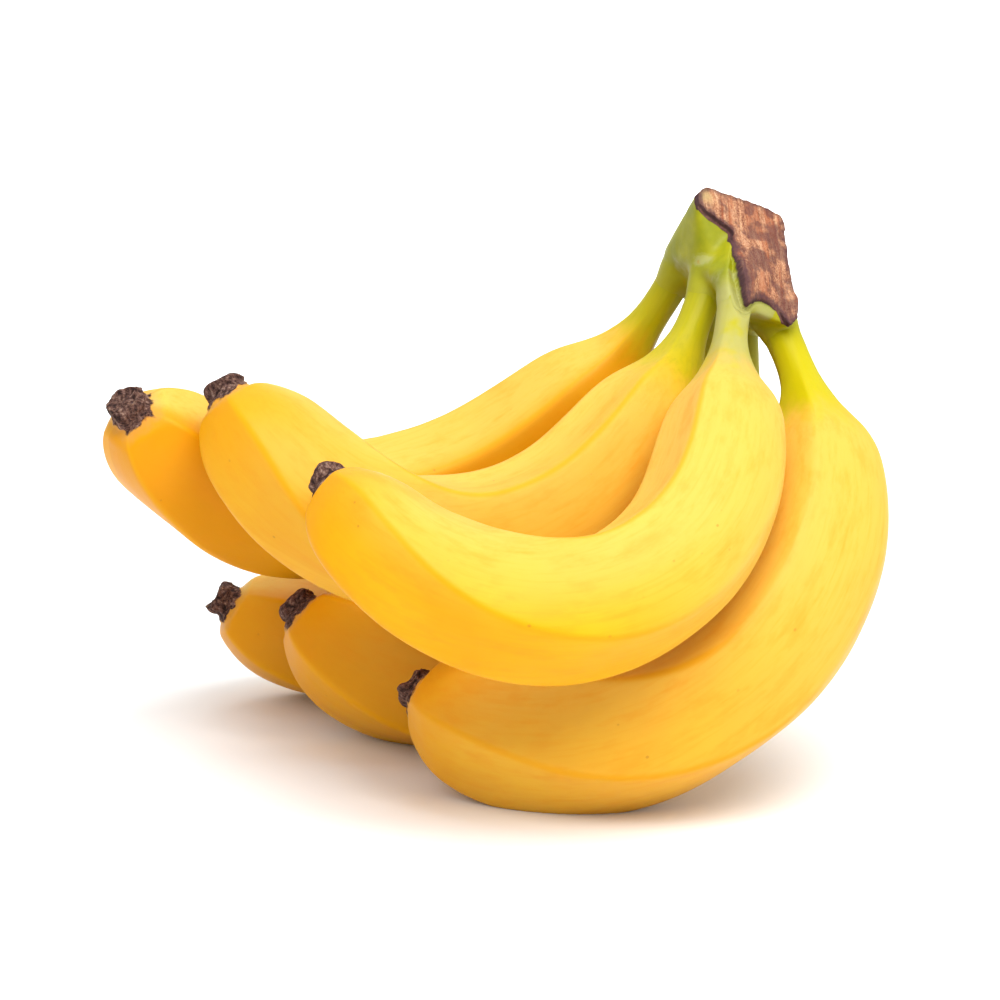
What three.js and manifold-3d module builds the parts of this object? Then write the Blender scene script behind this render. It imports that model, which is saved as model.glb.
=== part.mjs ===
// A cluster of six bananas, cut from the stalk with its crown.
// Two rows of three fingers grow out of the crown; the bunch lies on the bellies of the lower row.
// Millimetres and degrees. +X to the crown's side, +Y to the back, +Z up, Z = 0 is the surface it lies on.

import * as THREE from 'three';
import { ConvexGeometry } from 'three/addons/geometries/ConvexGeometry.js';
import { mergeVertices } from 'three/addons/utils/BufferGeometryUtils.js';
import Module from 'manifold-3d';

// ---------------------------------------------------------------- driving dimensions

// Fingers. A station is a share of the finger's length, from the crown (0) to the blossom end (1).
const SIDES = 20; // corners of one ring, four to each of the five faces of the peel
const FACES = 5;
const RIDGE = 0.03; // how far the ridges between the faces stand out, as a share of the radius
const RIDGE_START = 0.14; // stations between which the ridges fade in, where the neck opens
const RIDGE_FULL = 0.26;
const INSIDE_FLAT = 0.058; // how much flatter the inside of the curve is, as a share of the radius
const PROFILE = [ // [station, radius]: stalk, neck, body, shoulder, blossom end
  [0, 5], [0.06, 4.5], [0.12, 4.9], [0.17, 7.7], [0.23, 13.9], [0.32, 17.6], [0.45, 18.9],
  [0.6, 18.9], [0.74, 18.4], [0.85, 17.7], [0.92, 15.1], [0.96, 11.3], [0.978, 8.4], [0.987, 5.3], [1, 5],
];
const RING_SPANS = [ // [end station, rings up to it]: closer where the radius changes quickly
  [0.12, 4], [0.32, 7], [0.85, 16], [0.96, 4], [1, 5],
];
const STUB_LENGTH = 1.2; // the dried blossom end, past station 1
const STUB_END_RADIUS = 4;
const SURFACE = 0; // height that the bunch lies on
const CONTACT_DEPTH = 1; // how much of a lower finger's belly is flattened there
const INTEGRATION_STEPS = 240;

// Where the fingers leave the crown: the middle stalk of each row, and the step to the next one.
const UPPER_ROOT = [57.3, 43.2, 128.7];
const UPPER_STEP = [6, -12, -1.1];
const LOWER_ROOT = [63.5, 51.5, 118.1];
const LOWER_STEP = [7.8, -9.6, -0.6];

// lean: angle of the stalk from straight down. leanTo: compass heading that it leans to, from +X
// anticlockwise. curveTo: heading that the finger curves up to. bend: whole angle of the curve.
// middle, late: how much of the bend gathers at mid-length and past it. sweep: sideways curve.
const FINGERS = [
  { name: 'banana_upper_back', row: 'upper', place: -1, lean: 23.6, leanTo: 160.6, curveTo: -161.1,
    length: 205.9, bend: 126.7, middle: 0.3, late: 0.16, sweep: -8.8, girth: 1.03 },
  { name: 'banana_upper_middle', row: 'upper', place: 0, lean: 37, leanTo: -118.3, curveTo: -172.7,
    length: 193.5, bend: 131.6, middle: 0.62, late: 0.36, sweep: 7.7, girth: 1.035 },
  { name: 'banana_upper_front', row: 'upper', place: 1, lean: 55.3, leanTo: -100.2, curveTo: -177.9,
    length: 211.5, bend: 134.2, middle: 1.02, late: 0.71, sweep: 1, girth: 0.995 },
  { name: 'banana_lower_back', row: 'lower', place: -1, lean: 11.6, leanTo: -5.3, curveTo: 177.4,
    length: 199.9, bend: 135.4, middle: -0.2, late: -0.02, sweep: -2.1, girth: 0.975 },
  { name: 'banana_lower_middle', row: 'lower', place: 0, lean: 25.6, leanTo: -62.6, curveTo: 170.4,
    length: 200.7, bend: 147.7, middle: 0.08, late: 0.21, sweep: 5.5, girth: 1.025 },
  { name: 'banana_lower_front', row: 'lower', place: 1, lean: 61.1, leanTo: -66.9, curveTo: 146.3,
    length: 210.7, bend: 152.9, middle: 0.35, late: 0.23, sweep: -24.2, girth: 1.1 },
];

// Crown: a slab of the stalk's cushion behind one slanting cut. CUT_FACE goes round the cut: a broad
// block over the front stalks, and a narrower wing that reaches back over the rear ones.
const CUT_BLOCK = [
  [62, 41, 138], [75.5, 56, 139.8], [77, 43.5, 128.5], [80, 32, 118], [77, 28, 115.5], [64, 21.5, 122],
];
const CUT_WING = [[52.3, 44, 148], [52.8, 41, 145.5], [62, 41, 138], [75.5, 56, 139.8], [55, 48, 148.3]];
const COLLAR_DEPTH = 2.5; // the cushion wraps this much of each stalk
const COLLAR_WALL = 1.2;
const CLEARANCE = 0.3; // between the crown and each stalk in it

// ---------------------------------------------------------------- finishes

const PEEL = { color: 0xf2c443, roughness: 0.5, metalness: 0 };
const CROWN = { color: 0x8a6248, roughness: 0.85, metalness: 0 };

// ---------------------------------------------------------------- one finger

const { sin, cos, PI } = Math;
const rad = THREE.MathUtils.degToRad;

const profileCurve = new THREE.CubicInterpolant(
  PROFILE.map(([station]) => station), PROFILE.map(([, radius]) => radius), 1,
);
const profileRadius = (station) => profileCurve.evaluate(station)[0];

function rootOf({ row, place, settle = 0 }) {
  const [root, step] = row === 'upper' ? [UPPER_ROOT, UPPER_STEP] : [LOWER_ROOT, LOWER_STEP];
  const point = new THREE.Vector3(...root).addScaledVector(new THREE.Vector3(...step), place);
  return point.setZ(point.z + settle);
}

// The three directions that the finger starts with: along it, to the inside of its curve, sideways.
function startAxes(finger) {
  const lean = rad(finger.lean);
  const leanTo = rad(finger.leanTo);
  const curveTo = rad(finger.curveTo);
  const along = new THREE.Vector3(sin(lean) * cos(leanTo), sin(lean) * sin(leanTo), -cos(lean));
  const inside = new THREE.Vector3(cos(curveTo), sin(curveTo), 0);
  inside.addScaledVector(along, -inside.dot(along)).normalize();
  return { along, inside, sideways: new THREE.Vector3().crossVectors(along, inside) };
}

// The same three directions further along the finger.
function axesAt(finger, axes, station) {
  const wave = 2 * PI * station;
  const gathered = (-finger.middle * sin(wave) - finger.late * (1 - cos(wave))) / (2 * PI);
  const turn = rad(finger.bend) * (station + gathered);
  const sweep = rad(finger.sweep) * (station - 0.5);
  const along = new THREE.Vector3()
    .addScaledVector(axes.along, cos(turn) * cos(sweep))
    .addScaledVector(axes.inside, sin(turn) * cos(sweep))
    .addScaledVector(axes.sideways, sin(sweep));
  const inside = new THREE.Vector3()
    .addScaledVector(axes.along, -sin(turn))
    .addScaledVector(axes.inside, cos(turn));
  return { along, inside, sideways: new THREE.Vector3().crossVectors(along, inside) };
}

// Points of the centre line at the given stations, walked out from the root in small steps.
function centreLine(finger, stations) {
  const axes = startAxes(finger);
  const step = 1 / INTEGRATION_STEPS;
  const walked = [rootOf(finger)];
  for (let i = 0; i < INTEGRATION_STEPS; i += 1) {
    const { along } = axesAt(finger, axes, (i + 0.5) * step);
    walked.push(walked[i].clone().addScaledVector(along, finger.length * step));
  }
  return stations.map((station) => {
    const at = Math.min(station * INTEGRATION_STEPS, INTEGRATION_STEPS - 1e-9);
    const index = Math.floor(at);
    return walked[index].clone().lerp(walked[index + 1], at - index);
  });
}

function ringStations() {
  const stations = [0];
  for (const [end, rings] of RING_SPANS) {
    const start = stations[stations.length - 1];
    for (let i = 1; i <= rings; i += 1) stations.push(start + ((end - start) * i) / rings);
  }
  return stations;
}

// One ring: a rounded pentagon, flat towards the inside of the curve and ridged on its outside. Its
// shape runs from 0, round, to 1, full.
function ring(centre, axes, radius, shape) {
  return Array.from({ length: SIDES }, (_, side) => {
    const angle = (2 * PI * side) / SIDES;
    const flattened = INSIDE_FLAT * Math.max(cos(angle), 0) ** 2;
    const reach = radius * (1 - shape * (RIDGE * cos(FACES * angle) + flattened));
    return centre.clone()
      .addScaledVector(axes.inside, reach * cos(angle))
      .addScaledVector(axes.sideways, reach * sin(angle));
  });
}

// All rings of a finger as far as a station, each radius grown by a margin.
function fingerRings(finger, lastStation = 1, margin = 0) {
  const start = startAxes(finger);
  const stations = ringStations().filter((station) => station <= lastStation);
  const centres = centreLine(finger, stations);
  return stations.map((station, i) => {
    const shape = THREE.MathUtils.smoothstep(station, RIDGE_START, RIDGE_FULL);
    const radius = profileRadius(station) * finger.girth + margin;
    return ring(centres[i], axesAt(finger, start, station), radius, shape);
  });
}

// The dried blossom end: two more rings straight on from the last one.
function stubRings(finger) {
  const axes = axesAt(finger, startAxes(finger), 1);
  const [tip] = centreLine(finger, [1]);
  return [0.55, 1].map((share) => {
    const centre = tip.clone().addScaledVector(axes.along, STUB_LENGTH * share);
    const radius = THREE.MathUtils.lerp(profileRadius(1) * finger.girth, STUB_END_RADIUS, share);
    return ring(centre, axes, radius, 0);
  });
}

const middleOf = (points) => points
  .reduce((sum, point) => sum.add(point), new THREE.Vector3())
  .divideScalar(points.length);

// A closed skin over a row of rings, with a fan at each end.
function loft(rings) {
  const points = [...rings.flat(), middleOf(rings[0]), middleOf(rings[rings.length - 1])];
  const firstHub = points.length - 2;
  const lastHub = points.length - 1;
  const lastRing = (rings.length - 1) * SIDES;
  const index = [];
  for (let side = 0; side < SIDES; side += 1) {
    const next = (side + 1) % SIDES;
    index.push(firstHub, next, side);
    index.push(lastHub, lastRing + side, lastRing + next);
    for (let row = 0; row < lastRing; row += SIDES) {
      index.push(row + side, row + next, row + SIDES + side);
      index.push(row + next, row + SIDES + next, row + SIDES + side);
    }
  }
  const geometry = new THREE.BufferGeometry().setFromPoints(points);
  geometry.setIndex(index);
  return geometry;
}

const bananaGeometry = (finger) => loft([...fingerRings(finger), ...stubRings(finger)]);

// How far a lower finger moves up or down for its belly to dip below the surface by the contact depth.
function settling(finger) {
  const geometry = bananaGeometry(finger);
  geometry.computeBoundingBox();
  return SURFACE - CONTACT_DEPTH - geometry.boundingBox.min.z;
}

// What dips below the surface is pressed flat on it.
function pressOntoSurface(geometry) {
  const position = geometry.getAttribute('position');
  for (let i = 0; i < position.count; i += 1) {
    position.setZ(i, Math.max(position.getZ(i), SURFACE));
  }
}

// ---------------------------------------------------------------- crown

const wasm = await Module();
wasm.setup();

function toSolid(geometry) {
  const bare = new THREE.BufferGeometry();
  bare.setAttribute('position', geometry.getAttribute('position'));
  if (geometry.index) bare.setIndex(geometry.index);
  const merged = mergeVertices(bare, 1e-4);
  return new wasm.Manifold(new wasm.Mesh({
    numProp: 3,
    vertProperties: new Float32Array(merged.getAttribute('position').array),
    triVerts: new Uint32Array(merged.index.array),
  }));
}

function toGeometry(solid) {
  const mesh = solid.getMesh();
  const geometry = new THREE.BufferGeometry();
  geometry.setAttribute('position', new THREE.BufferAttribute(mesh.vertProperties, 3));
  geometry.setIndex(new THREE.BufferAttribute(mesh.triVerts, 1));
  return geometry;
}

// The rim of the cushion round one stalk.
function collar(finger) {
  const station = COLLAR_DEPTH / finger.length;
  const [centre] = centreLine(finger, [station]);
  const radius = profileRadius(station) * finger.girth + COLLAR_WALL;
  return ring(centre, axesAt(finger, startAxes(finger), station), radius, 0);
}

// The hole that one stalk sits in, open past the collar and deeper than the stalk's end.
function socket(finger) {
  const rings = fingerRings(finger, RIDGE_START, CLEARANCE);
  const { along } = startAxes(finger);
  rings[0].forEach((point) => point.addScaledVector(along, -CLEARANCE));
  return toSolid(loft(rings));
}

const vectors = (points) => points.map((point) => new THREE.Vector3(...point));
const byName = (...names) => FINGERS.filter((finger) => names.some((name) => finger.name.endsWith(name)));

function crownGeometry() {
  const block = new ConvexGeometry([
    ...vectors(CUT_BLOCK),
    ...byName('upper_middle', 'upper_front', 'lower_middle', 'lower_front').flatMap(collar),
  ]);
  const wing = new ConvexGeometry([
    ...vectors(CUT_WING),
    ...byName('upper_back', 'upper_middle', 'lower_back', 'lower_middle').flatMap(collar),
  ]);
  const whole = toSolid(block).add(toSolid(wing));
  return toGeometry(FINGERS.reduce((solid, finger) => solid.subtract(socket(finger)), whole));
}

// ---------------------------------------------------------------- assembly

function part(name, geometry, finish) {
  geometry.computeVertexNormals();
  const mesh = new THREE.Mesh(geometry, new THREE.MeshStandardMaterial(finish));
  mesh.name = name;
  return mesh;
}

const group = new THREE.Group();
for (const finger of FINGERS) {
  if (finger.row === 'lower') finger.settle = settling(finger);
  const geometry = bananaGeometry(finger);
  pressOntoSurface(geometry);
  group.add(part(finger.name, geometry, PEEL));
}
group.add(part('crown', crownGeometry(), CROWN));

// The origin is the middle of the bunch's box, on the surface that it lies on.
const box = new THREE.Box3().setFromObject(group);
const middle = box.getCenter(new THREE.Vector3());
group.position.set(-middle.x, -middle.y, -box.min.z);

export default group;
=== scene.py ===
"""The looks of a cluster of six ripe bananas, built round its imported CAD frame. Metres, +Z up."""
import itertools
import math

import bmesh
import bpy
import numpy as np
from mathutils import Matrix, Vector


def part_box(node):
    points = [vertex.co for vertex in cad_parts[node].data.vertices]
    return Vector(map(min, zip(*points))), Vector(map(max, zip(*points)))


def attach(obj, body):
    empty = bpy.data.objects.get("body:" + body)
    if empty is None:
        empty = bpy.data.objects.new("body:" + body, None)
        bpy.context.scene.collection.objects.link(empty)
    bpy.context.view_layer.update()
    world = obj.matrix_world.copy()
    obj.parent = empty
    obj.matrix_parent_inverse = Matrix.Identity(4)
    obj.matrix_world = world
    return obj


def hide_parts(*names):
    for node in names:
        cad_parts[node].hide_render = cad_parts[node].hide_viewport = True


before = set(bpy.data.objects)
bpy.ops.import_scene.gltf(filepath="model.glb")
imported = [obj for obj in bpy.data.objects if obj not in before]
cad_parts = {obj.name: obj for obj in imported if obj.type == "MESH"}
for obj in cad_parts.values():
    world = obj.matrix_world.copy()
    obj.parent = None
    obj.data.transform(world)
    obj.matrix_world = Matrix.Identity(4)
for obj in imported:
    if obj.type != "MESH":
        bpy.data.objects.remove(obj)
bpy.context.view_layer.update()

MM = 0.001

# ---------------------------------------------------------------- driving values

SIDES = 20  # corners of one ring of the CAD skin
AROUND = 180  # points round one fine ring
BODY_STEP = 0.8 * MM  # between fine rings
TIP_STEP = 0.3 * MM  # the same near the blossom end
TIP_START = 0.95  # share of the length where they close up
STUB_START = 0.979  # share of the length where the peel gives way to the dried blossom end
STUB_FACING = (0.2, -0.95, -0.2)  # the near side of a blossom end
STUB_LONGER, STUB_THICKER = 0.9 * MM, 0.35 * MM  # how far its crust stands out from the CAD skin

FACE_SMOOTH = 3.5  # degrees that the ridges between the faces are rounded over
TWIST = 62.0  # degrees that the faces turn towards the blossom end
# Pairs of shares of the length: where each of these starts and is complete, or starts to end and ends.
TWIST_OVER = (0.52, 0.92)
FACES_OPEN, FACES_CLOSE = (0.06, 0.2), (0.955, 0.98)
PLUMP_OPEN, PLUMP_CLOSE = (0.16, 0.3), (0.42, 0.58)
LEAN_OPEN, LEAN_CLOSE = (0.2, 0.4), (0.82, 0.97)
BODY_OPEN = (0.12, 0.3)
FACES_LOST = 0.7  # share of the faces' flatness that goes at the blossom end
PLUMP_SIDE = (75, 125)  # degrees from the inside of the curve that the plump outside starts over
PLUMP_LOSS = 0.6  # share of the faces' flatness that goes on the plump outside
PLUMP_CLEAR = 12  # degrees that the ridge lines' colour stays away there

# Unevenness of the peel and of the dried blossom end: (height, size of its features).
SWELL, DIMPLE, GROOVE = (0.22 * MM, 26 * MM), (0.07 * MM, 9 * MM), (0.05 * MM, 1.6 * MM)
CRUMPLE, CREASE = (0.6 * MM, 3.2 * MM), (0.35 * MM, 1.5 * MM)
RAGGED, CRUST, HOLLOW = (0.9 * MM, 4.5 * MM), (0.4 * MM, 2.6 * MM), (0.55 * MM, 2.2 * MM)
CORNERS = 1.2 * MM  # how strongly the dried end keeps the corners of the peel's faces
LIP_DEPTH, LIP_WIDTH = 0.35 * MM, 0.55 * MM  # the groove where the peel meets the blossom end
CLOSING_RINGS = 15  # rings that close the blossom end
STALK_UNDER_CUT = 0.9 * MM  # how far behind the plane of the cut the stalks stay

# Each finger: angles of its five ridges (degrees from the inside of the curve), how flat its faces
# are, where the green of the stalk ends, how yellow and how waxy the stalk is, how much further back
# the dry blossom end reaches on its near side and how far it droops from straight on (millimetres),
# how much painted light (paleness) its near side and its outside keep, with painted shade where the
# near side lacks it, how much slimmer it is at mid-length than the CAD, and the seed of its unevenness.
FINGERS = {
    "banana_upper_back": dict(
        ridges=(-38, -112, 172, 98, 30), facet=0.80, green=0.155, tint=0.45, wax=0.05,
        slant=0.2, droop=(0.2, 0.2, -0.4), pale=(0.1, 0.0), lean=0.07, seed=1),
    "banana_upper_middle": dict(
        ridges=(-66, -166, 122, 52, -8), facet=0.75, green=0.210, tint=0.2, wax=0.05,
        slant=2.4, droop=(0.6, -2.4, -0.2), pale=(0.75, 0.3), lean=0.05, seed=2),
    "banana_upper_front": dict(
        ridges=(-66, -160, 124, 54, -6), facet=0.75, green=0.180, tint=0.35, wax=0.65,
        slant=1.5, droop=(2.0, -3.2, 1.0), pale=(1.0, 0.0), lean=0.07, seed=3),
    "banana_lower_back": dict(
        ridges=(-110, 178, 106, 36, -36), facet=0.70, green=0.18, tint=0.1, wax=0.2,
        slant=0.8, droop=(2.0, -1.5, -0.4), pale=(0.45, 0.0), lean=0.0, seed=4),
    "banana_lower_middle": dict(
        ridges=(-110, 178, 106, 36, -36), facet=0.70, green=0.18, tint=0.2, wax=0.2,
        slant=2.8, droop=(1.8, -2.8, 0.2), pale=(0.45, 0.0), lean=0.0, seed=5),
    "banana_lower_front": dict(
        ridges=(-110, 176, 104, 36, -38), facet=0.75, green=0.200, tint=0.8, wax=0.0,
        slant=2.8, droop=(1.5, -2.8, 0.2), pale=(0.95, 0.45), lean=0.0, seed=6),
}

# The crown. Outline of its dried cut in millimetres, across the cut and down it from its middle:
# upper corner, front edge, lower edge with its two flaps, and back up along the side of the wing.
CUT_OUTLINE = [
    (-8.0, -18.0), (-4.0, -19.0), (7.5, -12.5), (16.5, -6.3), (16.2, -4.3), (11.6, 3.7), (8.5, 8.7),
    (3.6, 21.4), (1.2, 24.0), (-2.7, 25.6), (-3.3, 23.3), (-4.4, 20.0), (-8.0, 16.6), (-11.0, 16.4),
    (-15.4, 17.8), (-12.0, 9.4), (-8.6, 3.3), (-3.6, -4.8), (-6.0, -8.5), (-8.0, -11.4), (-10.0, -14.6),
]
CUT_FACING = (0.515, -0.527, 0.676)  # where the cut faces
CUT_TOP, CUT_DEPTH = 0.7 * MM, 1.3 * MM  # how far the dried plate reaches out of the cut and into it
CUT_FROM_TOP = (3.5 * MM, 18.9 * MM, 0.4 * MM)  # its middle, from the crown's highest corner
CUT_SLOPE = 0.55  # how steeply the cushion may rise beside the cut
CUT_REACH = 30 * MM  # length of the stalks that the cut trims
CUT_FIBRES = (-0.47, 0.88)  # which way the fibres show in the cut, across and down
PALE_CORNER, PALE_SIZE = (-6.0 * MM, -16.2 * MM), 2.1 * MM
CUSHION_UNDER_CUT = 0.4 * MM  # how far behind the plane of the cut the cushion stays
CUSHION_DROP = 0.6 * MM  # how far the CAD crown is drawn in before the skins are fused
CUSHION_ROUNDS = 48  # rounds of smoothing of the green cushion
OUTLINE_STEP = 0.5 * MM
# How far the cushion stands out round each stalk: (distance along the stalk, thickness), millimetres.
SLEEVE = [(-2.0, 0.6), (1.5, 1.0), (4.0, 1.0), (6.5, 0.75), (9.0, 0.4), (11.5, 0.1), (14.0, -0.6)]
SLEEVE_SIDES = 48
VOXEL = 0.29 * MM

# Light and camera.
KEY_LIGHT = dict(place=(0.3, -0.6, 1.25), aim=(0, 0, 0.05), size=1.2, power=21)
BACK_LIGHT = dict(place=(0, 1.5, 1.0), aim=(0, 1.3, 0), size=1.4, power=16, spread=60)
DOME_SIDES, DOME_TOP = 0.46, 1.4  # strength of the light from the sides and from overhead
DOME_COLOUR = (0.94, 0.98, 1, 1)
FLOOR_GREY = 0.9
CAMERA_PLACE, CAMERA_DOWN = (0.0017, -1.2265, 0.4056), 15.1  # metres, and degrees below level
CAMERA_LENS, CAMERA_SENSOR = 174.5, 36  # millimetres

# Colours, as 8-bit display values before PALETTE_DEPTH is applied.
PALETTE_DEPTH = 0.78  # share of the light that a colour of 255 gives back
YELLOWS = [(0.3, (247, 174, 4)), (0.5, (249, 180, 8)), (0.7, (251, 187, 14))]
# The first of these is painted light on the lit, pale sides; the second is painted shade on the near
# side.
PAINTED_LIGHT_CREAM, PAINTED_SHADE_YELLOW, RIDGE_YELLOW = (251, 200, 90), (232, 150, 2), (247, 172, 2)
# The last of these is painted shade at the tip.
STREAK_YELLOW, CLOUD_YELLOW, PAINTED_TIP_SHADE = (244, 160, 12), (244, 160, 24), (246, 160, 2)
STALK_GREENS = [(0.0, (164, 162, 2)), (0.06, (172, 166, 2)), (0.11, (184, 174, 2)), (0.17, (210, 184, 4))]
STREAK_GREEN, YELLOW_GREEN, WAX = (130, 138, 2), (212, 194, 2), (182, 178, 124)
SPECK_BROWN, HALO_BROWN = (176, 112, 36), (206, 158, 108)
BARKS = [(0.38, (44, 27, 24)), (0.48, (88, 60, 52)), (0.57, (122, 90, 78)), (0.7, (178, 146, 128))]
WOODS = [
    (0.36, (92, 54, 48)), (0.44, (146, 88, 64)), (0.5, (190, 132, 96)),
    (0.56, (216, 162, 122)), (0.66, (236, 196, 156)),
]
RUST, WOOD_SHADE, WOOD_SPECK, PALE_WOOD = (168, 84, 46), (98, 58, 56), (74, 42, 42), (226, 198, 132)
CUT_RIM, CUT_SIDE = (84, 54, 58), (74, 48, 52)
CUSHION_GREENS = [(0.3, (142, 146, 2)), (0.5, (158, 158, 4)), (0.7, (178, 172, 16))]
STALK_GREEN, BAND_WAX, BAND_SCAR = (166, 162, 2), (190, 188, 132), (182, 130, 22)

# ---------------------------------------------------------------- numbers


def smoothstep(value, low, high):
    t = np.clip((np.asarray(value, float) - low) / (high - low), 0, 1)
    return t * t * (3 - 2 * t)


def natural_spline(x, y, at):
    """The natural cubic through the rows of y at x, read at the places in at."""
    n, h = len(x), np.diff(x)
    slope = np.diff(y, axis=0) / h[:, None]
    left, right = np.eye(n), np.zeros_like(y)
    for i in range(1, n - 1):
        left[i, i - 1], left[i, i], left[i, i + 1] = h[i - 1], 2 * (h[i - 1] + h[i]), h[i]
        right[i] = 6 * (slope[i] - slope[i - 1])
    bend = np.linalg.solve(left, right)
    i = np.clip(np.searchsorted(x, at) - 1, 0, n - 2)
    a, b, step = (x[i + 1] - at)[:, None], (at - x[i])[:, None], h[i][:, None]
    straight = (a * y[i] + b * y[i + 1]) / step
    return straight + ((a**3 / step - step * a) * bend[i] + (b**3 / step - step * b) * bend[i + 1]) / 6


def lattice(cell, seed):
    """A repeatable random number from -1 to 1 for each whole-numbered cell."""
    h = (cell[..., 0] * 73856093) ^ (cell[..., 1] * 19349663) ^ (cell[..., 2] * 83492791)
    h = h ^ (seed * 2654435761)
    h = (h ^ (h >> 13)) * 1274126177 & 0xFFFFFFFF
    h = (h ^ (h >> 16)) & 0xFFFFFF
    return h / 0x7FFFFF - 1


def noise(points, size, seed):
    """Smooth noise from -1 to 1 with features of that size."""
    p = points / size + 1000
    cell = np.floor(p).astype(np.int64)
    f = p - cell
    u = f * f * f * (f * (f * 6 - 15) + 10)
    total = 0
    for corner in itertools.product((0, 1), repeat=3):
        weight = np.prod(np.where(corner, u, 1 - u), axis=-1)
        total = total + weight * lattice(cell + np.array(corner), seed)
    return total


def layered(points, size, seed, layers=3):
    """Noise with finer and fainter layers on top."""
    return sum(noise(points, size / 2**i, seed + i) / 2**i for i in range(layers))


def unit(v):
    return v / np.linalg.norm(v, axis=-1, keepdims=True)


# ---------------------------------------------------------------- reading the CAD skin


def cad_rings(node):
    """The rings that a finger's CAD skin was lofted over, from the crown to the blossom end, each
    counted round from the inside of the curve: array of rings x SIDES x 3."""
    bm = bmesh.new()
    bm.from_mesh(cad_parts[node].data)
    bmesh.ops.remove_doubles(bm, verts=bm.verts, dist=1e-6)
    crown = sum(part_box("crown"), Vector()) / 2
    hub = min((v for v in bm.verts if len(v.link_edges) == SIDES), key=lambda v: (v.co - crown).length)
    seen, level, levels = {hub}, [hub], []
    while True:
        level = list({e.other_vert(v) for v in level for e in v.link_edges} - seen)
        if len(level) != SIDES:
            break
        seen.update(level)
        levels.append(level)
    middles = np.array([np.mean([v.co for v in ring], axis=0) for ring in levels])
    along = unit(np.gradient(middles, axis=0))
    bend = unit(np.cross(np.cross(along[12], middles[24] - middles[0]), along[12]))
    rings, order = [], None
    for i, ring in enumerate(levels):
        if order is None:
            side = np.cross(along[i], bend)
            arms = [(np.array(v.co) - middles[i], v) for v in ring]
            spread = [(math.atan2(arm @ side, arm @ bend), v) for arm, v in arms]
            order = [v for _, v in sorted(spread, key=lambda pair: pair[0])]
        else:
            place = {v: j for j, v in enumerate(order)}
            slots = {}
            for v in ring:
                a, b = sorted(place[e.other_vert(v)] for e in v.link_edges if e.other_vert(v) in place)
                slots[b if b - a > 1 else a] = v
            order = [slots[j] for j in range(SIDES)]
        rings.append([tuple(v.co) for v in order])
    bm.free()
    rings = np.array(rings)
    reach = np.linalg.norm(rings - rings.mean(1, keepdims=True), axis=2)[14:22].mean(0)
    toward = unit(middles[10] + middles[26] - 2 * middles[18])
    faces = [sum(reach[k::4]) for k in range(4)]
    first = int(np.argmin(faces))
    spots = rings[18] - middles[18]
    start = max(range(first, SIDES, 4), key=lambda k: spots[k] @ toward)
    return np.roll(rings, -start, axis=1)


def finger_line(node):
    """A finger's centre line, radius and two cross directions at its fine stations, and the stations."""
    rings = cad_rings(node)
    middle = rings.mean(1)
    angle = 2 * math.pi * np.arange(SIDES) / SIDES
    inside = np.einsum("rsx,s->rx", rings - middle[:, None], np.cos(angle)) * 2 / SIDES
    sideways = np.einsum("rsx,s->rx", rings - middle[:, None], np.sin(angle)) * 2 / SIDES
    radius = (np.linalg.norm(inside, axis=1) + np.linalg.norm(sideways, axis=1)) / 2
    run = np.r_[0, np.cumsum(np.linalg.norm(np.diff(middle, axis=0), axis=1))]
    length = run[-1]
    body = np.linspace(0, TIP_START, int(length * TIP_START / BODY_STEP))
    tip = np.linspace(TIP_START, 1, int(length * (1 - TIP_START) / TIP_STEP))
    share = np.r_[body, tip[1:]]
    table = np.c_[middle, radius, unit(inside), unit(sideways)]
    fine = natural_spline(run, table, share * length)
    inside = unit(fine[:, 4:7])
    along = unit(np.gradient(fine[:, :3], axis=0))
    sideways = unit(np.cross(along, inside))
    return dict(middle=fine[:, :3], radius=fine[:, 3], inside=unit(np.cross(sideways, along)),
                sideways=sideways, along=along, share=share, length=length)


# ---------------------------------------------------------------- one finger


def ridge_angles(finger, share):
    """Where the five ridges stand on each ring, in degrees: array of rings x 5."""
    turn = TWIST * smoothstep(share, *TWIST_OVER)
    return np.array(finger["ridges"], float)[None, :] + turn[:, None]


def faceting(finger, share, angle):
    """How far the peel stands in or out of the round for its five flat faces, as a share of the radius,
    and how close each point is to a ridge, in degrees."""
    ridges = np.sort(ridge_angles(finger, share) % 360, axis=1)
    ridges = np.c_[ridges[:, -1:] - 360, ridges, ridges[:, :1] + 360]
    spot = np.degrees(angle)[None, :]
    above = np.sum(ridges[:, :, None] <= spot[:, None], axis=1)
    low = np.take_along_axis(ridges, above - 1, axis=1)
    high = np.take_along_axis(ridges, above, axis=1)
    across = 2 * (spot - low) / (high - low) - 1
    flat = 1 / np.cos(np.radians(36 * across))
    flat -= flat.mean(1, keepdims=True)
    frequency = np.fft.rfftfreq(AROUND, 1 / AROUND)
    soft = np.exp(-0.5 * (frequency * math.radians(FACE_SMOOTH)) ** 2)
    flat = np.fft.irfft(np.fft.rfft(flat, axis=1) * soft, n=AROUND, axis=1)
    return flat, np.minimum(spot - low, high - spot)


def body_radius(finger, line, flat, plump):
    """The CAD's radius, slimmer at mid-length, with the flat faces of the peel."""
    share = line["share"]
    facet = finger["facet"] * smoothstep(share, *FACES_OPEN)
    facet = facet * (1 - FACES_LOST * smoothstep(share, *FACES_CLOSE))
    lean = finger["lean"] * smoothstep(share, *LEAN_OPEN) * (1 - smoothstep(share, *LEAN_CLOSE))
    faces = facet[:, None] * (1 - PLUMP_LOSS * plump) * flat
    return line["radius"][:, None] * (1 - lean[:, None] + faces)


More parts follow.
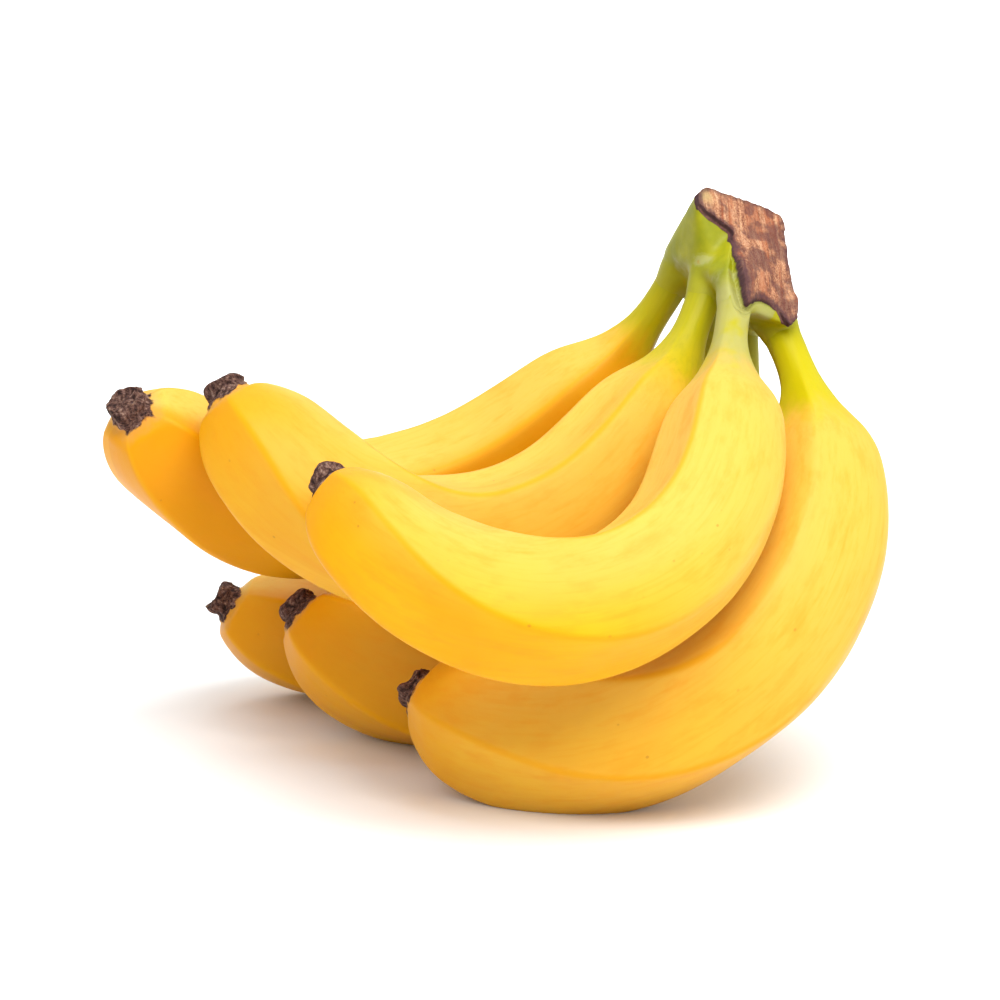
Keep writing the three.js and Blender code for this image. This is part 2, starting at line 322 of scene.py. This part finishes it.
def painted_light_and_shade(finger, share, turn):
    """Painted light and shade: how pale the yellow is made on lit sides and how deep on the shaded near
    side, by where each point is round the finger and along it.
    """
    near, outer = finger["pale"]
    spot = np.abs(turn)
    pale = 1 - (1 - outer) * smoothstep(spot, 60, 150)[None, :] * smoothstep(share, 0.4, 0.65)[:, None]
    pale = pale * (1 - 0.8 * smoothstep(share, 0.82, 0.97)[:, None] * smoothstep(spot, 20, 70)[None, :])
    painted_shade = (1 - near) * smoothstep(-turn, 15, 60)[None, :]
    return pale * (1 - painted_shade), np.broadcast_to(painted_shade, pale.shape)


def uneven(radius, rolled, share, seed):
    """The radius with slight swellings on the body and fine grooves along the peel."""
    body = smoothstep(share, *BODY_OPEN)[:, None]
    swell = SWELL[0] * noise(rolled, SWELL[1], seed) + DIMPLE[0] * noise(rolled, DIMPLE[1], seed + 1)
    radius = radius + body * swell
    grooves = noise(rolled * np.array([1, 1, 0.08]), GROOVE[1], seed + 2)
    return radius + GROOVE[0] * grooves * (1 - 0.6 * body)


def crumpled(radius, rolled, flat, past, dried, seed):
    """The radius with the dried blossom end's crumpled crust, and the groove in front of it."""
    crumple = CRUMPLE[0] * layered(rolled, CRUMPLE[1], seed + 3) + CORNERS * flat
    crumple = crumple - CREASE[0] * np.abs(noise(rolled, CREASE[1], seed + 6))
    radius = radius + dried * (crumple + STUB_THICKER)
    lip = np.exp(-((past + 0.2 * MM) / LIP_WIDTH) ** 2)
    return radius - LIP_DEPTH * lip


def lengthened(points, line, rolled, dried, seed):
    """The points with the blossom end pushed out along the finger to a ragged end."""
    share = line["share"]
    ragged = RAGGED[0] * noise(rolled * np.array([1, 1, 0]), RAGGED[1], seed + 8) - 0.2 * MM
    push = smoothstep(share, STUB_START + 0.004, 1)[:, None] * ragged
    push = push + dried * (0.5 * MM + CRUST[0] * noise(rolled, CRUST[1], seed + 9))
    push = push + STUB_LONGER * smoothstep(share, STUB_START, 1)[:, None]
    return points + push[..., None] * line["along"][:, None]


def closing_rings(rim, rim_rolled, axis, seed):
    """Rings that close the blossom end with a rough hollow, and the same rings' rolled places."""
    rings, places, centre = [], [], rim.mean(0)
    for part in np.linspace(0.93, 0.06, CLOSING_RINGS):
        ring = centre + (rim - centre) * part
        dip = HOLLOW[0] * layered(ring, HOLLOW[1], seed + 11) - 0.9 * MM * (1 - part)
        round_over = -0.25 * MM * smoothstep(part, 0.8, 1)
        rings.append(ring + (dip + round_over)[:, None] * axis)
        places.append(rim_rolled * np.array([part, part, 1]))
    return np.array(rings), np.array(places)


def make_finger(node, finger):
    line = finger_line(node)
    share, seed = line["share"], finger["seed"] * 100
    angle = 2 * math.pi * np.arange(AROUND) / AROUND
    turn = np.degrees(np.where(angle > math.pi, angle - 2 * math.pi, angle))
    flat, ridge_gap = faceting(finger, share, angle)
    waist = smoothstep(share, *PLUMP_OPEN) * (1 - smoothstep(share, *PLUMP_CLOSE))
    plump = smoothstep(np.abs(turn), *PLUMP_SIDE)[None, :] * waist[:, None]
    radius = body_radius(finger, line, flat, plump)
    # Painted light (pale) and painted shade on the peel, by side.
    pale, painted_shade = painted_light_and_shade(finger, share, turn)

    out = (np.cos(angle)[None, :, None] * line["inside"][:, None]
           + np.sin(angle)[None, :, None] * line["sideways"][:, None])
    # Where each point is on the finger as if it were straight, for noise that follows its bend.
    rolled = np.stack([
        np.cos(angle)[None, :] * line["radius"][:, None],
        np.sin(angle)[None, :] * line["radius"][:, None],
        np.broadcast_to((share * line["length"])[:, None], radius.shape),
    ], axis=-1)
    radius = uneven(radius, rolled, share, seed)
    slant = finger["slant"] * MM * (out @ np.array(STUB_FACING))
    past = (share - STUB_START)[:, None] * line["length"] + slant
    dried = smoothstep(past, -0.4 * MM, 0.8 * MM)
    radius = crumpled(radius, rolled, flat, past, dried, seed)

    points = line["middle"][:, None] + radius[..., None] * out
    points = lengthened(points, line, rolled, dried, seed)
    # The shoulder droops slowly, and the blossom end droops further at its very end.
    droop = 0.75 * smoothstep(share, 0.84, 0.98) + 0.5 * smoothstep(share, 0.96, 1)
    points = points + droop[:, None, None] * np.array(finger["droop"]) * MM
    start = share * line["length"] < CUT_REACH
    trimmed = under_the_cut(points[start].reshape(-1, 3), STALK_UNDER_CUT)
    points[start] = trimmed.reshape(-1, AROUND, 3)
    caps, cap_places = closing_rings(points[-1], rolled[-1], line["along"][-1], seed)
    points = np.concatenate([points, caps])
    points[..., 2] = np.maximum(points[..., 2], 0)

    def extend(values):
        """The values on every ring, and the last ring's again on each ring that closes the end."""
        return np.concatenate([values, np.repeat(values[-1:], CLOSING_RINGS, axis=0)])

    station = extend(np.broadcast_to(share[:, None], radius.shape))
    attributes = {
        "ripe": (station - finger["green"]) / 0.03,
        "dry": extend(past) / MM,
        "ridge": extend(ridge_gap + PLUMP_CLEAR * plump),
        "station": station,
        "wax": extend(np.full(radius.shape, finger["wax"])),
        "tint": extend(np.full(radius.shape, finger["tint"])),
        "pale": extend(pale),
        "painted_shade": extend(painted_shade),
        "rolled": np.concatenate([rolled, cap_places]),
    }
    return skin(node + "_peel", points, attributes)


def skin(name, points, attributes):
    """A closed mesh over rows of points, with a fan at each end, and its attributes."""
    rows, columns = points.shape[:2]
    first = np.arange(columns)
    after = np.roll(first, -1)
    quads = []
    for row in range(rows - 1):
        low, high = row * columns, (row + 1) * columns
        quads.append(np.c_[low + first, low + after, high + after, high + first])
    start, end = rows * columns, rows * columns + 1
    last = (rows - 1) * columns
    fans = [(start, int(b), int(a)) for a, b in zip(first, after)]
    fans += [(end, int(last + a), int(last + b)) for a, b in zip(first, after)]
    all_points = np.concatenate([points.reshape(-1, 3), [points[0].mean(0)], [points[-1].mean(0)]])
    mesh = bpy.data.meshes.new(name)
    mesh.from_pydata(all_points.tolist(), [], np.concatenate(quads).tolist() + fans)
    for key, values in attributes.items():
        values = np.asarray(values, float)
        if values.ndim == 3:
            flat = np.concatenate([values.reshape(-1, 3), [values[0].mean(0)], [values[-1].mean(0)]])
            mesh.attributes.new(key, "FLOAT_VECTOR", "POINT").data.foreach_set("vector", flat.ravel())
        else:
            flat = np.concatenate([values.ravel(), [values[0].mean()], [values[-1].mean()]])
            mesh.attributes.new(key, "FLOAT", "POINT").data.foreach_set("value", flat)
    mesh.shade_smooth()
    piece = bpy.data.objects.new(name, mesh)
    bpy.context.scene.collection.objects.link(piece)
    return piece


# ---------------------------------------------------------------- the crown


def cut_frame():
    """Middle of the cut, its direction across the fibres, down along them and out of it."""
    out = Vector(CUT_FACING).normalized()
    down = (Vector((0, 0, -1)) + out * out.z).normalized()
    across = out.cross(down)
    corner = max((v.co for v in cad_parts["crown"].data.vertices), key=lambda co: co.z)
    middle = corner + CUT_FROM_TOP[0] * across + CUT_FROM_TOP[1] * down + CUT_FROM_TOP[2] * out
    return np.array(middle), np.array(across), np.array(down), np.array(out)


def cut_outline():
    """The outline at short even steps with a ragged edge, in metres across and down."""
    corners = np.array(CUT_OUTLINE + CUT_OUTLINE[:1]) * MM
    run = np.r_[0, np.cumsum(np.linalg.norm(np.diff(corners, axis=0), axis=1))]
    at = np.arange(0, run[-1], OUTLINE_STEP)
    line = np.c_[np.interp(at, run, corners[:, 0]), np.interp(at, run, corners[:, 1])]
    line = (line + 0.5 * (np.roll(line, 1, axis=0) + np.roll(line, -1, axis=0))) / 2
    tangent = unit(np.roll(line, -1, axis=0) - np.roll(line, 1, axis=0))
    outward = np.c_[-tangent[:, 1], tangent[:, 0]]
    ragged = 0.25 * MM * layered(np.c_[line, np.zeros(len(line))], 2.4 * MM, 71)
    return line + outward * ragged[:, None]


def loop_shell(loops):
    """Points and faces of a closed tube over loops of points, capped with one face at each end."""
    count = len(loops[0])
    first, after = np.arange(count), np.roll(np.arange(count), -1)
    faces = [list(first[::-1]), list(first + (len(loops) - 1) * count)]
    for row in range(len(loops) - 1):
        low, high = row * count, (row + 1) * count
        faces += np.c_[low + first, low + after, high + after, high + first].tolist()
    return np.concatenate(loops), faces


def cad_shell(node, drop):
    """Points and faces of a CAD node, moved by drop."""
    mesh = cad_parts[node].data
    points = np.array([tuple(v.co) for v in mesh.vertices]) + drop
    return points, [list(f.vertices) for f in mesh.polygons]


def sleeve_shell(line):
    """A tube round the start of one stalk that fills its socket and swells the cushion's rim."""
    along = np.array([place for place, _ in SLEEVE]) * MM
    start = line["middle"][0] + np.minimum(along, 0)[:, None] * line["along"][0]
    share = np.maximum(along, 0) / line["length"]
    places = [np.searchsorted(line["share"], value) for value in share]
    angle = 2 * math.pi * np.arange(SLEEVE_SIDES) / SLEEVE_SIDES
    loops = []
    for i, place in enumerate(places):
        middle = line["middle"][place] + (start[i] - line["middle"][0])
        radius = line["radius"][place] + SLEEVE[i][1] * MM
        loops.append(middle + radius * (np.cos(angle)[:, None] * line["inside"][place]
                                        + np.sin(angle)[:, None] * line["sideways"][place]))
    return loop_shell(loops)


def fused(name, shells):
    """One closed skin round several closed shells that overlap."""
    points, faces, count = [], [], 0
    for shell_points, shell_faces in shells:
        points.append(shell_points)
        faces += [[int(corner) + count for corner in face] for face in shell_faces]
        count += len(shell_points)
    rough = bpy.data.meshes.new(name + "_rough")
    rough.from_pydata(np.concatenate(points).tolist(), [], faces)
    piece = bpy.data.objects.new(name, rough)
    bpy.context.scene.collection.objects.link(piece)
    remesh = piece.modifiers.new("fuse", "REMESH")
    remesh.mode, remesh.voxel_size = "VOXEL", VOXEL
    fused_piece = piece.evaluated_get(bpy.context.evaluated_depsgraph_get())
    skin_mesh = bpy.data.meshes.new_from_object(fused_piece)
    piece.modifiers.clear()
    piece.data = skin_mesh
    skin_mesh.name = name
    bpy.data.meshes.remove(rough)
    return piece


def mesh_array(items, key, width=3, kind=float):
    values = np.empty(len(items) * width, kind)
    items.foreach_get(key, values)
    return values.reshape(-1, width)


def relaxed(points, edges, rounds, share):
    """The points drawn towards the mean of their neighbours."""
    count = np.bincount(edges.ravel(), minlength=len(points))[:, None]
    for _ in range(rounds):
        total = np.zeros_like(points)
        np.add.at(total, edges[:, 0], points[edges[:, 1]])
        np.add.at(total, edges[:, 1], points[edges[:, 0]])
        points = points + share[:, None] * (total / count - points)
    return points


def inside_outline(spots, outline):
    """Distance of each spot from the outline, positive inside it."""
    near = np.full(len(spots), np.inf)
    within = np.zeros(len(spots), bool)
    for a, b in zip(outline, np.roll(outline, -1, axis=0)):
        edge = b - a
        t = np.clip((spots - a) @ edge / (edge @ edge), 0, 1)
        near = np.minimum(near, np.linalg.norm(spots - a - t[:, None] * edge, axis=1))
        crossing = (a[1] > spots[:, 1]) != (b[1] > spots[:, 1])
        if crossing.any():
            at = a[0] + (spots[:, 1] - a[1]) / (b[1] - a[1] or 1) * edge[0]
            within ^= crossing & (spots[:, 0] < at)
    return np.where(within, near, -near)


def under_the_cut(points, depth):
    """The points with what stands in front of the cut's plane pressed back behind it."""
    middle, across, down, out = cut_frame()
    spots = np.c_[(points - middle) @ across, (points - middle) @ down]
    beside = np.maximum(-inside_outline(spots, cut_outline()), 0)
    height = (points - middle) @ out
    return points + np.minimum(CUT_SLOPE * beside - depth - height, 0)[:, None] * out


def down_the_stalks(points, lines):
    """How far down the nearest stalk each point lies, in metres, and the number of that stalk."""
    best, far = np.zeros(len(points)), np.full(len(points), np.inf)
    which = np.zeros(len(points), int)
    for number, line in enumerate(lines):
        stretch = line["share"] * line["length"] < 16 * MM
        middle, run = line["middle"][stretch], (line["share"] * line["length"])[stretch]
        gaps = np.linalg.norm(points[:, None] - middle[None], axis=2)
        nearest = gaps.argmin(axis=1)
        closer = gaps.min(axis=1) < far
        best = np.where(closer, run[nearest], best)
        which = np.where(closer, number, which)
        far = np.minimum(far, gaps.min(axis=1))
    return best, which


def cut_relief(grain, edge):
    """How far the dried face of the cut stands in or out, in millimetres: fibres, lumps, pits and a
    curled rim."""
    fibres = noise(grain * np.array([1, 0.16, 0]), 0.8 * MM, 81)
    fine = noise(grain * np.array([1, 0.2, 0.2]), 0.45 * MM, 82)
    lumps = noise(grain, 5 * MM, 83)
    pits = smoothstep(noise(grain * np.array([1, 0.6, 0]), 1.3 * MM, 84), 0.3, 0.75)
    curl = np.exp(-((edge / (1.1 * MM)) ** 2)) * (0.5 + 0.5 * noise(grain, 3 * MM, 85))
    return 0.14 * fibres + 0.12 * fine + 0.3 * lumps - 0.3 * pits + 0.25 * curl


def make_crown():
    middle, across, down, out = cut_frame()
    outline = cut_outline()
    flat = middle + outline[:, :1] * across + outline[:, 1:] * down
    plate = loop_shell([flat - CUT_DEPTH * out, flat + CUT_TOP * out])
    lines = [finger_line(node) for node in FINGERS]
    cushion = cad_shell("crown", -CUSHION_DROP * out)
    piece = fused("crown_cushion", [cushion, plate, *map(sleeve_shell, lines)])
    mesh = piece.data
    points = mesh_array(mesh.vertices, "co")
    edges = mesh_array(mesh.edges, "vertices", 2, np.int32)

    height = (points - middle) @ out
    spots = np.c_[(points - middle) @ across, (points - middle) @ down]
    edge = inside_outline(spots, outline)
    plate_share = smoothstep(height, -CUT_DEPTH - 0.3 * MM, -CUT_DEPTH + 0.2 * MM)
    plate_share = plate_share * smoothstep(edge, -1.0 * MM, -0.5 * MM)
    points = relaxed(points, edges, 2, np.full(len(points), 0.5))
    free = 1 - plate_share[:, None]
    points = points + free * (under_the_cut(points, CUSHION_UNDER_CUT) - points)
    points = relaxed(points, edges, CUSHION_ROUNDS, 0.8 * (1 - plate_share))
    points = points + free * (under_the_cut(points, CUSHION_UNDER_CUT) - points)

    mesh.vertices.foreach_set("co", points.ravel())
    mesh.update()
    normal = mesh_array(mesh.vertices, "normal")
    face = plate_share * smoothstep(normal @ out, 0.35, 0.75)
    side = plate_share * (1 - smoothstep(normal @ out, 0.3, 0.6))
    fibre_way = unit(np.array(CUT_FIBRES))
    grain = np.c_[spots @ np.array([fibre_way[1], -fibre_way[0]]), spots @ fibre_way, height]
    flakes = 0.3 * noise(grain * np.array([1, 1, 2.5]), 1.4 * MM, 86)
    swell = 0.12 * noise(points, 6 * MM, 87) + 0.05 * noise(points, 2 * MM, 88)
    points = points + (face * cut_relief(grain, edge) * MM)[:, None] * out
    points = points + ((side * flakes + (1 - plate_share) * swell) * MM)[:, None] * normal
    mesh.vertices.foreach_set("co", points.ravel())

    pale = np.exp(-np.sum((spots - np.array(PALE_CORNER)) ** 2, axis=1) / PALE_SIZE ** 2)
    run, which = down_the_stalks(points, lines)
    reached = smoothstep(run, 2 * MM, 9 * MM)
    wax, tint = (np.array([finger[key] for finger in FINGERS.values()])[which] for key in ("wax", "tint"))
    numbers = {"face": face, "plate": plate_share, "edge": edge / MM, "pale": pale,
               "stalk": run / MM, "wax": reached * wax, "tint": reached * tint}
    for key, values in numbers.items():
        mesh.attributes.new(key, "FLOAT", "POINT").data.foreach_set("value", values)
    ways = mesh.attributes.new("grain", "FLOAT_VECTOR", "POINT")
    ways.data.foreach_set("vector", grain.ravel())
    mesh.shade_smooth()
    return piece


# ---------------------------------------------------------------- materials


def srgb(red, green, blue):
    """An 8-bit display value as the linear colour that a shader takes, darker by PALETTE_DEPTH."""
    values = [v / 255 for v in (red, green, blue)]
    linear = [v / 12.92 if v <= 0.04045 else ((v + 0.055) / 1.055) ** 2.4 for v in values]
    return tuple(v * PALETTE_DEPTH for v in linear) + (1.0,)


class Shader:
    """A material's node tree with short calls for the nodes used here."""

    def __init__(self, name):
        self.material = bpy.data.materials.new(name)
        self.material.use_nodes = True
        self.tree = self.material.node_tree
        self.surface = self.tree.nodes["Principled BSDF"]

    def feed(self, socket, value):
        """Link the value into the socket, or set it there if it is a plain one."""
        if isinstance(value, bpy.types.NodeSocket):
            self.tree.links.new(value, socket)
        else:
            socket.default_value = value

    def add(self, kind, inputs=(), **settings):
        node = self.tree.nodes.new(kind)
        for key, value in settings.items():
            setattr(node, key, value)
        for key, value in dict(inputs).items():
            self.feed(node.inputs[key], value)
        return node

    def attribute(self, name, output="Fac"):
        return self.add("ShaderNodeAttribute", attribute_name=name).outputs[output]

    def math(self, operation, a, b):
        return self.add("ShaderNodeMath", {0: a, 1: b}, operation=operation).outputs[0]

    def times(self, a, b):
        return self.math("MULTIPLY", a, b)

    def plus(self, a, b):
        return self.math("ADD", a, b)

    def rest(self, value):
        """What is left of 1."""
        return self.math("SUBTRACT", 1.0, value)

    def noise(self, vector, scale, detail=2.0, rough=0.5):
        settings = {"Vector": vector, "Scale": scale, "Detail": detail, "Roughness": rough}
        return self.add("ShaderNodeTexNoise", settings).outputs["Fac"]

    def wander(self, vector, scale, detail, reach):
        """Noise about 0, to shift an edge by."""
        return self.times(self.math("SUBTRACT", self.noise(vector, scale, detail), 0.5), reach)

    def stretch(self, vector, x, y, z):
        inputs = {0: vector, 1: (x, y, z)}
        return self.add("ShaderNodeVectorMath", inputs, operation="MULTIPLY").outputs[0]

    def step(self, value, low, high):
        """0 below low, 1 above high and smooth between."""
        node = self.add("ShaderNodeMapRange", {"Value": value, "From Min": low, "From Max": high},
                        interpolation_type="SMOOTHSTEP")
        return node.outputs["Result"]

    def ramp(self, value, stops):
        node = self.add("ShaderNodeValToRGB", {"Fac": value})
        while len(node.color_ramp.elements) < len(stops):
            node.color_ramp.elements.new(0.5)
        for element, (place, colour) in zip(node.color_ramp.elements, stops):
            element.position = place
            element.color = srgb(*colour)
        return node.outputs["Color"]

    def mix(self, share, a, b):
        node = self.add("ShaderNodeMix", data_type="RGBA")
        for index, value in ((0, share), (6, a), (7, b)):
            self.feed(node.inputs[index], value)
        return node.outputs[2]

    def over(self, base, mask, amount, colour):
        """The base with a colour over it where the mask is 1, up to the amount."""
        return self.mix(self.times(mask, amount), base, srgb(*colour))

    def finish(self, bump, strength, distance, **sockets):
        for key, value in sockets.items():
            self.feed(self.surface.inputs[key.replace("_", " ")], value)
        made = self.add("ShaderNodeBump", {"Height": bump, "Strength": strength, "Distance": distance})
        self.tree.links.new(made.outputs["Normal"], self.surface.inputs["Normal"])
        return self.material


def ripe_yellow(s, rolled, mottle, streak):
    """The yellow of the body: mottled, with painted light in cream on its pale sides, painted shade
    deeper on its near side and at the tip, and deeper along the ridges.
    """
    yellow = s.ramp(mottle, YELLOWS)
    # Painted light: cream over the pale, lit sides.
    yellow = s.over(yellow, s.attribute("pale"), 0.8, PAINTED_LIGHT_CREAM)
    yellow = s.over(yellow, s.step(streak, 0.45, 0.75), 0.25, STREAK_YELLOW)
    # Painted shade: deeper yellow on the near side, in the shade of the finger in front.
    yellow = s.over(yellow, s.attribute("painted_shade"), 0.8, PAINTED_SHADE_YELLOW)
    cloud = s.noise(s.stretch(rolled, 1, 1, 0.4), 190, 4, 0.65)
    yellow = s.over(yellow, s.step(cloud, 0.46, 0.7), 0.35, CLOUD_YELLOW)
    # Painted shade: deeper yellow at the tip where the sides are not painted pale.
    tip = s.times(s.step(s.attribute("station"), 0.82, 0.97), s.rest(s.attribute("pale")))
    yellow = s.over(yellow, tip, 0.5, PAINTED_TIP_SHADE)
    line = s.rest(s.step(s.attribute("ridge"), 0.5, 4.5))
    return s.over(yellow, line, 0.7, RIDGE_YELLOW)


def stalk_green(s, rolled, streak):
    """The green of the stalk, which turns yellow down its length, with streaks and wax."""
    station = s.attribute("station")
    green = s.ramp(station, STALK_GREENS)
    green = s.over(green, s.step(streak, 0.4, 0.8), 0.3, STREAK_GREEN)
    green = s.mix(s.times(s.attribute("tint"), s.step(station, 0.03, 0.1)), green, srgb(*YELLOW_GREEN))
    waxy = s.times(s.attribute("wax"), s.step(s.noise(rolled, 130, 2), 0.25, 0.55))
    return s.over(green, waxy, 0.85, WAX)


def peel_material():
    s = Shader("banana_peel")
    rolled = s.attribute("rolled", "Vector")
    lengthwise = s.stretch(rolled, 1, 1, 0.07)
    mottle = s.noise(rolled, 45, 3)
    streak = s.noise(lengthwise, 900, 3, 0.6)
    fibre = s.noise(lengthwise, 3200, 2, 0.6)
    grain = s.noise(rolled, 2600, 3, 0.6)

    ripeness = s.step(s.plus(s.attribute("ripe"), s.wander(lengthwise, 260, 2, 2.4)), -1.6, 1.3)
    yellow = ripe_yellow(s, rolled, mottle, streak)
    colour = s.mix(ripeness, stalk_green(s, rolled, streak), yellow)

    specks = s.add("ShaderNodeTexVoronoi", {"Vector": rolled, "Scale": 210.0, "Randomness": 1.0})
    sparse = s.step(s.noise(rolled, 95, 1), 0.55, 0.68)
    spot = s.times(s.rest(s.step(specks.outputs["Distance"], 0.04, 0.11)), sparse)
    colour = s.over(colour, spot, 0.45, SPECK_BROWN)

    # The dried blossom end, which starts at a ragged edge and a little earlier on the ridges.
    corner = s.times(s.rest(s.step(s.attribute("ridge"), 0.0, 16.0)), 0.35)
    dryness = s.plus(s.plus(s.attribute("dry"), s.wander(rolled, 420, 3, 2.6)), corner)
    colour = s.over(colour, s.step(dryness, -2.2, 0.1), 0.3, HALO_BROWN)
    stub = s.step(dryness, -0.15, 0.35)
    crust = s.noise(rolled, 900, 4, 0.7)
    colour = s.mix(stub, colour, s.ramp(crust, BARKS))

    roughness = s.plus(s.times(stub, 0.36), s.plus(s.times(mottle, 0.12), 0.36))
    height = s.plus(s.times(grain, 0.35), s.times(fibre, 0.25))
    height = s.plus(height, s.times(streak, 0.35))
    height = s.plus(height, s.times(s.times(crust, stub), 9.0))
    return s.finish(height, 0.5, 0.12 * MM, Base_Color=colour, Roughness=roughness,
                    Specular_IOR_Level=0.12, Subsurface_Weight=0.12, Subsurface_Scale=0.004,
                    Subsurface_Radius=(1.0, 0.6, 0.15))


def cut_wood(s, grain, streak):
    """The dried cut: pale and brown fibres with rusty streaks, dark blotches, specks and rim."""
    blotch = s.noise(grain, 170, 3, 0.6)
    speck = s.noise(grain, 1300, 3, 0.7)
    fleck = s.noise(s.stretch(grain, 1, 0.5, 0.7), 3600, 4, 0.75)
    wood = s.ramp(s.plus(s.times(fleck, 0.6), s.times(streak, 0.4)), WOODS)
    rusty = s.step(s.noise(s.stretch(grain, 1, 0.12, 0.3), 420, 2), 0.5, 0.62)
    wood = s.over(wood, rusty, 0.5, RUST)
    wood = s.over(wood, s.step(s.plus(blotch, s.times(fleck, 0.35)), 0.64, 0.76), 0.7, WOOD_SHADE)
    wood = s.over(wood, s.step(speck, 0.56, 0.68), 0.5, WOOD_SPECK)
    wood = s.over(wood, s.attribute("pale"), 0.55, PALE_WOOD)
    rim = s.rest(s.step(s.plus(s.attribute("edge"), s.wander(grain, 420, 3, 3.0)), 0.0, 1.8))
    wood = s.over(wood, rim, 0.8, CUT_RIM)
    return s.over(wood, s.rest(s.attribute("face")), 0.85, CUT_SIDE)


def cushion_green(s, grain):
    """The green cushion, with a waxy and scarred band where the stalks leave it."""
    stalk = s.attribute("stalk")
    green = s.ramp(s.noise(grain, 120, 3, 0.6), CUSHION_GREENS)
    green = s.mix(s.step(stalk, 3.0, 11.0), green, srgb(*STALK_GREEN))
    tinted = s.times(s.attribute("tint"), s.step(stalk, 6.0, 20.0))
    green = s.mix(tinted, green, srgb(*YELLOW_GREEN))
    coat = s.times(s.attribute("wax"), s.step(s.noise(grain, 130, 2), 0.25, 0.55))
    green = s.over(green, coat, 0.85, WAX)
    band = s.times(s.step(stalk, 0.2, 2.0), s.rest(s.step(stalk, 3.0, 5.5)))
    green = s.over(green, s.times(band, s.step(s.noise(grain, 210, 3), 0.4, 0.62)), 0.5, BAND_WAX)
    return s.over(green, s.times(band, s.step(s.noise(grain, 330, 3), 0.58, 0.7)), 0.5, BAND_SCAR)


def crown_material():
    s = Shader("crown_skin")
    grain = s.attribute("grain", "Vector")
    lengthwise = s.stretch(grain, 1, 0.12, 0.3)
    streak = s.noise(lengthwise, 900, 4, 0.65)
    fibre = s.noise(lengthwise, 2600, 3, 0.6)
    plate = s.step(s.attribute("plate"), 0.35, 0.65)
    colour = s.mix(plate, cushion_green(s, grain), cut_wood(s, grain, streak))

    roughness = s.plus(s.times(plate, 0.4), 0.45)
    height = s.times(s.plus(s.times(streak, 2.0), fibre), plate)
    height = s.plus(height, s.times(s.noise(grain, 1800, 3), 0.3))
    return s.finish(height, 0.6, 0.2 * MM, Base_Color=colour, Roughness=roughness,
                    Specular_IOR_Level=0.25, Subsurface_Weight=0.08, Subsurface_Scale=0.003,
                    Subsurface_Radius=(1.0, 0.6, 0.15))


def floor_material():
    s = Shader("paper_floor")
    tooth = s.noise(s.add("ShaderNodeTexCoord").outputs["Object"], 900, 2)
    return s.finish(tooth, 0.05, 0.1 * MM, Base_Color=(FLOOR_GREY, FLOOR_GREY, FLOOR_GREY, 1),
                    Roughness=0.9, Specular_IOR_Level=0.1)


# ---------------------------------------------------------------- the bunch

peel = peel_material()
for node, finger in FINGERS.items():
    piece = make_finger(node, finger)
    piece.data.materials.append(peel)
    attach(piece, "root")
    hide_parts(node)

crown = make_crown()
crown.data.materials.append(crown_material())
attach(crown, "root")
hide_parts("crown")

# ---------------------------------------------------------------- stage, light, camera


def make_floor():
    bpy.ops.mesh.primitive_plane_add(size=24, location=(0, 8, 0))
    floor = bpy.context.object
    floor.name = "floor"
    floor.data.materials.append(floor_material())


def soft_light(name, place, aim, size, power, spread=180):
    light = bpy.data.lights.new(name, "AREA")
    light.spread = math.radians(spread)
    light.shape, light.size, light.energy = "DISK", size, power
    lamp = bpy.data.objects.new(name, light)
    lamp.location = place
    lamp.rotation_euler = (Vector(aim) - Vector(place)).to_track_quat("-Z", "Y").to_euler()
    bpy.context.scene.collection.objects.link(lamp)


def make_dome():
    """Light from all round, stronger overhead than from the sides."""
    world = bpy.data.worlds.new("studio")
    world.use_nodes = True
    nodes, links = world.node_tree.nodes, world.node_tree.links
    height = nodes.new("ShaderNodeSeparateXYZ")
    links.new(nodes.new("ShaderNodeTexCoord").outputs["Generated"], height.inputs[0])
    fade = nodes.new("ShaderNodeMapRange")
    links.new(height.outputs["Z"], fade.inputs["Value"])
    fade.inputs["To Min"].default_value, fade.inputs["To Max"].default_value = DOME_SIDES, DOME_TOP
    links.new(fade.outputs["Result"], nodes["Background"].inputs["Strength"])
    nodes["Background"].inputs["Color"].default_value = DOME_COLOUR
    bpy.context.scene.world = world


def make_camera():
    data = bpy.data.cameras.new("camera")
    data.sensor_width, data.lens = CAMERA_SENSOR, CAMERA_LENS
    data.clip_start, data.clip_end = 0.05, 50
    camera = bpy.data.objects.new("camera", data)
    camera.location = CAMERA_PLACE
    camera.rotation_euler = (math.radians(90 - CAMERA_DOWN), 0, 0)
    bpy.context.scene.collection.objects.link(camera)
    bpy.context.scene.camera = camera


make_floor()
soft_light("key", **KEY_LIGHT)
soft_light("back", **BACK_LIGHT)
make_dome()
bpy.context.scene.view_settings.view_transform = "Standard"
make_camera()
